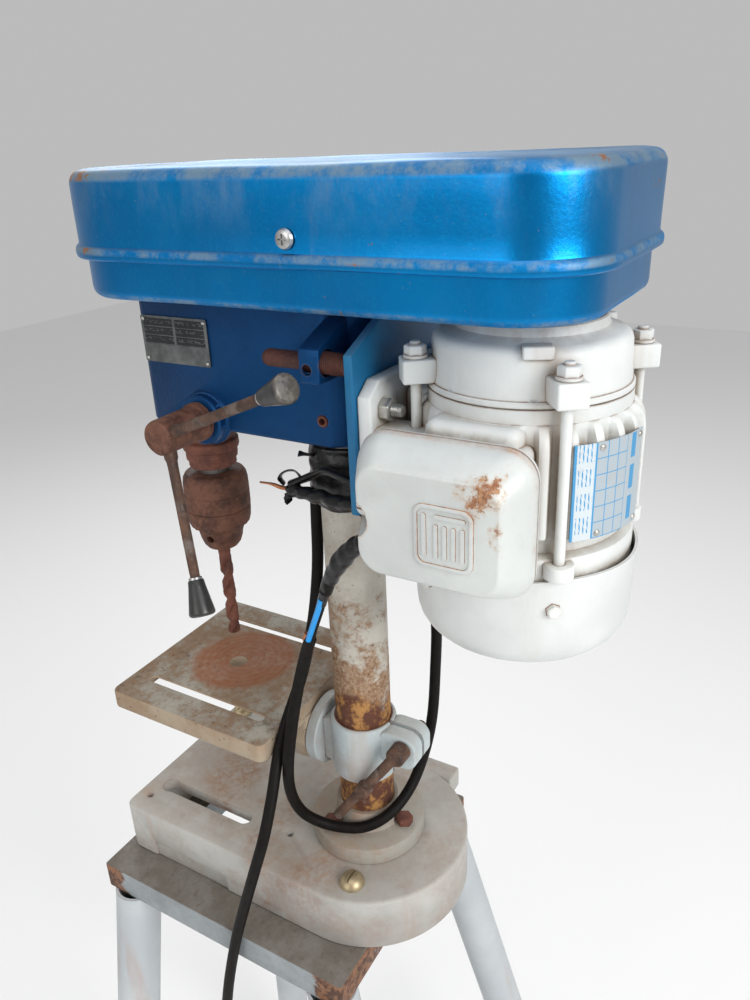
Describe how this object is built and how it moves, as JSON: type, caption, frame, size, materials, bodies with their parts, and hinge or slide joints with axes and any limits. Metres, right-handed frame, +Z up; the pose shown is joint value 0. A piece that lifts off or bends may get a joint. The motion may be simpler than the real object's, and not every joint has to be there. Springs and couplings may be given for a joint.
{
  "type": "drill press",
  "caption": "Belt-driven drill press with covered pulleys, rear motor, lever-fed quill, tilting slotted table and cast base bolted on a splayed tube stand.",
  "frame": {"origin": "centre of the stand's four feet, on the floor", "axes": "+Z up along the column, -Y towards the operator's side where the spindle is, +X towards the feed levers"},
  "size_m": [0.396, 0.512, 1.3587],
  "materials": {
    "stand_paint": "satin worn paint",
    "cast_grey_paint": "worn paint with a rust film",
    "column_steel": "worn paint over steel, rusted low down",
    "blue_head_paint": "satin hammered blue",
    "blue_guard_paint": "glossy hammered blue, worn at the edges",
    "motor_paint": "satin off-white paint with rust chips",
    "rusty_steel": "matt rust",
    "zinc_steel": "dull zinc",
    "plate_metal": "printed metal",
    "pulley_metal": "cast",
    "brass_bolt": "dull",
    "knob_plastic": "worn black",
    "cord_rubber": "black sheath"
  },
  "bodies": {
    "press": {"stand_frame": "stand_paint", "stand_leg_front_left": "stand_paint", "stand_leg_rear_left": "stand_paint", "stand_leg_front_right": "stand_paint", "stand_leg_rear_right": "stand_paint", "base_casting": "cast_grey_paint", "base_bolt_left": "brass_bolt", "base_bolt_right": "brass_bolt", "column_flange": "cast_grey_paint", "flange_bolt_1": "rusty_steel", "flange_bolt_2": "rusty_steel", "flange_bolt_3": "rusty_steel", "column": "column_steel", "head_casting": "blue_head_paint", "data_plate": "plate_metal", "head_lock_screw": "rusty_steel", "return_spring_cap": "blue_head_paint", "guard_pan": "blue_guard_paint", "v_belt": "cord_rubber", "tape_bundle": "cord_rubber", "motor_lead": "cord_rubber", "supply_cord": "cord_rubber", "cord_coil": "cord_rubber", "mains_plug": "cord_rubber"},
    "belt_cover": {"belt_cover": "blue_guard_paint", "guard_screw": "zinc_steel"},
    "liner": {"collar_liner": "column_steel"},
    "table_bracket": {"table_bracket": "cast_grey_paint"},
    "table": {"table": "cast_grey_paint", "tilt_bolt": "rusty_steel"},
    "clamp_lever": {"clamp_lever": "rusty_steel"},
    "feed": {"feed_hub": "rusty_steel", "feed_lever_1": "rusty_steel", "feed_lever_2": "rusty_steel", "knob_1": "knob_plastic", "knob_2": "knob_plastic"},
    "quill": {"quill": "rusty_steel"},
    "spindle": {"spindle": "zinc_steel", "chuck_body": "rusty_steel", "drill_bit": "rusty_steel"},
    "chuck_sleeve": {"chuck_sleeve": "rusty_steel"},
    "spindle_pulley": {"spindle_pulley": "pulley_metal"},
    "motor": {"motor_plate": "blue_head_paint", "plate_bolt_left": "zinc_steel", "plate_bolt_right": "zinc_steel", "slide_rod_left": "rusty_steel", "slide_rod_right": "rusty_steel", "motor_frame": "motor_paint", "motor_top_shield": "motor_paint", "tie_rod_front_left": "motor_paint", "tie_rod_front_right": "motor_paint", "tie_rod_rear_left": "motor_paint", "tie_rod_rear_right": "motor_paint", "fan_cowl": "motor_paint", "terminal_box": "motor_paint", "terminal_cover": "motor_paint", "motor_nameplate": "plate_metal"},
    "rotor": {"rotor": "zinc_steel", "motor_fan": "knob_plastic", "motor_pulley": "pulley_metal"}
  },
  "joints": [
    {"name": "quill_feed", "type": "slide", "parent": "press", "child": "quill", "axis": [0, 0, -1], "range_m": [0, 0.05], "stiffness_N_per_m": 400, "springref_m": -0.08},
    {"name": "feed_turn", "type": "hinge", "parent": "press", "child": "feed", "pos_m": [0, -0.0588, 1.187], "axis": [1, 0, 0], "range_deg": [0, 225]},
    {"name": "spindle_spin", "type": "hinge", "parent": "quill", "child": "spindle", "pos_m": [0, -0.0915, 1.18], "axis": [0, 0, 1], "continuous": true},
    {"name": "sleeve_turn", "type": "hinge", "parent": "spindle", "child": "chuck_sleeve", "pos_m": [0, -0.0915, 1.08], "axis": [0, 0, 1], "range_deg": [0, 60]},
    {"name": "pulley_spin", "type": "hinge", "parent": "press", "child": "spindle_pulley", "pos_m": [0, -0.0915, 1.31], "axis": [0, 0, 1], "continuous": true},
    {"name": "belt_tension", "type": "slide", "parent": "press", "child": "motor", "axis": [0, 1, 0], "range_m": [-0.008, 0], "deforming": ["v_belt", "motor_lead", "supply_cord"]},
    {"name": "rotor_spin", "type": "hinge", "parent": "motor", "child": "rotor", "pos_m": [0, 0.1738, 1.18], "axis": [0, 0, 1], "continuous": true},
    {"name": "cover_lift", "type": "slide", "parent": "press", "child": "belt_cover", "axis": [0, 0, 1], "range_m": [0, 0.09]},
    {"name": "table_height", "type": "slide", "parent": "press", "child": "liner", "axis": [0, 0, 1], "range_m": [-0.006, 0.02]},
    {"name": "table_swivel", "type": "hinge", "parent": "liner", "child": "table_bracket", "pos_m": [0, 0.04, 0.905], "axis": [0, 0, -1], "range_deg": [0, 90]},
    {"name": "table_tilt", "type": "hinge", "parent": "table_bracket", "child": "table", "pos_m": [0, 0, 0.905], "axis": [0, 1, 0], "range_deg": [-45, 45]},
    {"name": "clamp_turn", "type": "hinge", "parent": "table_bracket", "child": "clamp_lever", "pos_m": [0, 0.084, 0.921], "axis": [1, 0, 0], "range_deg": [-15, 5]}
  ],
  "couplings": [
    {"joint": "feed_turn", "follows": "quill_feed", "rad_per_m": 78.5},
    {"joint": "spindle_spin", "follows": "rotor_spin", "ratio": 1},
    {"joint": "pulley_spin", "follows": "rotor_spin", "ratio": 1}
  ]
}
